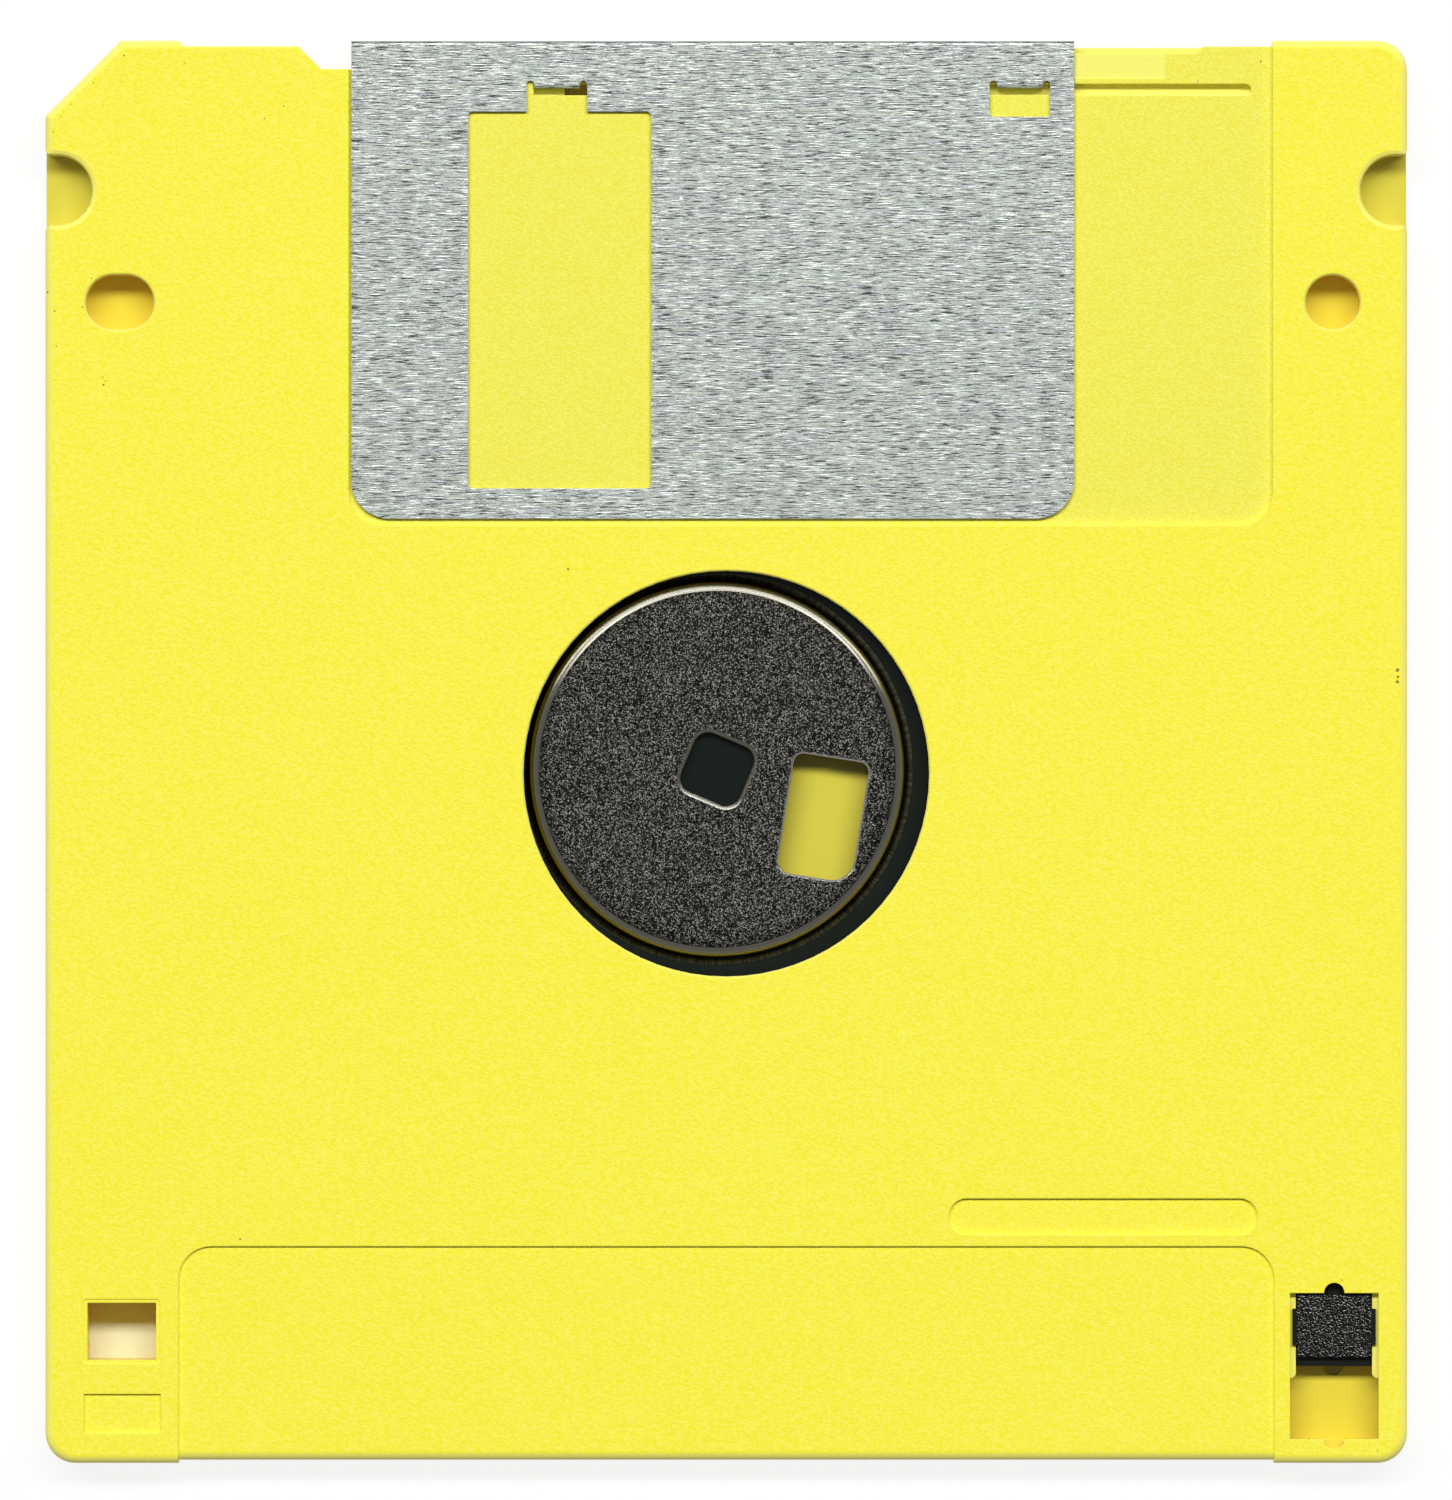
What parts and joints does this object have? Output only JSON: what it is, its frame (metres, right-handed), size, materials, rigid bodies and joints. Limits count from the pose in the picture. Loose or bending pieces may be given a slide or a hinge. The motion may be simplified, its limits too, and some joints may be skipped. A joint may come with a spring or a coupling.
{
  "type": "floppy disk",
  "caption": "Rigid square disk cartridge with a sliding metal shutter, a turning disc on a metal hub, and a write-protect slider.",
  "frame": {"origin": "middle of the label side's face, on the surface that the disk lies on", "axes": "+Z out of the hub side, +Y towards the shutter end, +X the way the shutter opens"},
  "size_m": [0.09, 0.094, 0.0033],
  "materials": {
    "case_plastic": "fine spark-eroded texture",
    "shutter_steel": "brushed across, along X",
    "spring_steel": "drawn wire",
    "hub_steel": "bead blasted",
    "disc_film": "smooth coated film",
    "adhesive": "tacky ring",
    "liner_fabric": "non-woven",
    "lifter_film": "thin film",
    "button_plastic": "smooth",
    "tab_plastic": "coarse leather grain"
  },
  "bodies": {
    "case": {"front_shell": "case_plastic", "back_shell": "case_plastic", "front_liner": "liner_fabric", "back_liner": "liner_fabric", "lifter": "lifter_film", "wear_button": "button_plastic", "shutter_spring": "spring_steel"},
    "shutter": {"shutter": "shutter_steel"},
    "disc": {"media_disc": "disc_film", "hub": "hub_steel", "hub_adhesive_ring": "adhesive"},
    "write_protect": {"write_protect_tab": "tab_plastic"}
  },
  "joints": [
    {"name": "shutter_slide", "type": "slide", "parent": "case", "child": "shutter", "axis": [1, 0, 0], "range_m": [0, 0.0125], "stiffness_N_per_m": 25, "springref_m": -0.012, "deforming": ["shutter_spring"]},
    {"name": "disc_spin", "type": "hinge", "parent": "case", "child": "disc", "pos_m": [-0.0006, -0.00115, 0.00165], "axis": [0, 0, 1], "continuous": true},
    {"name": "write_protect_slide", "type": "slide", "parent": "case", "child": "write_protect", "axis": [0, -1, 0], "range_m": [0, 0.00465]}
  ]
}
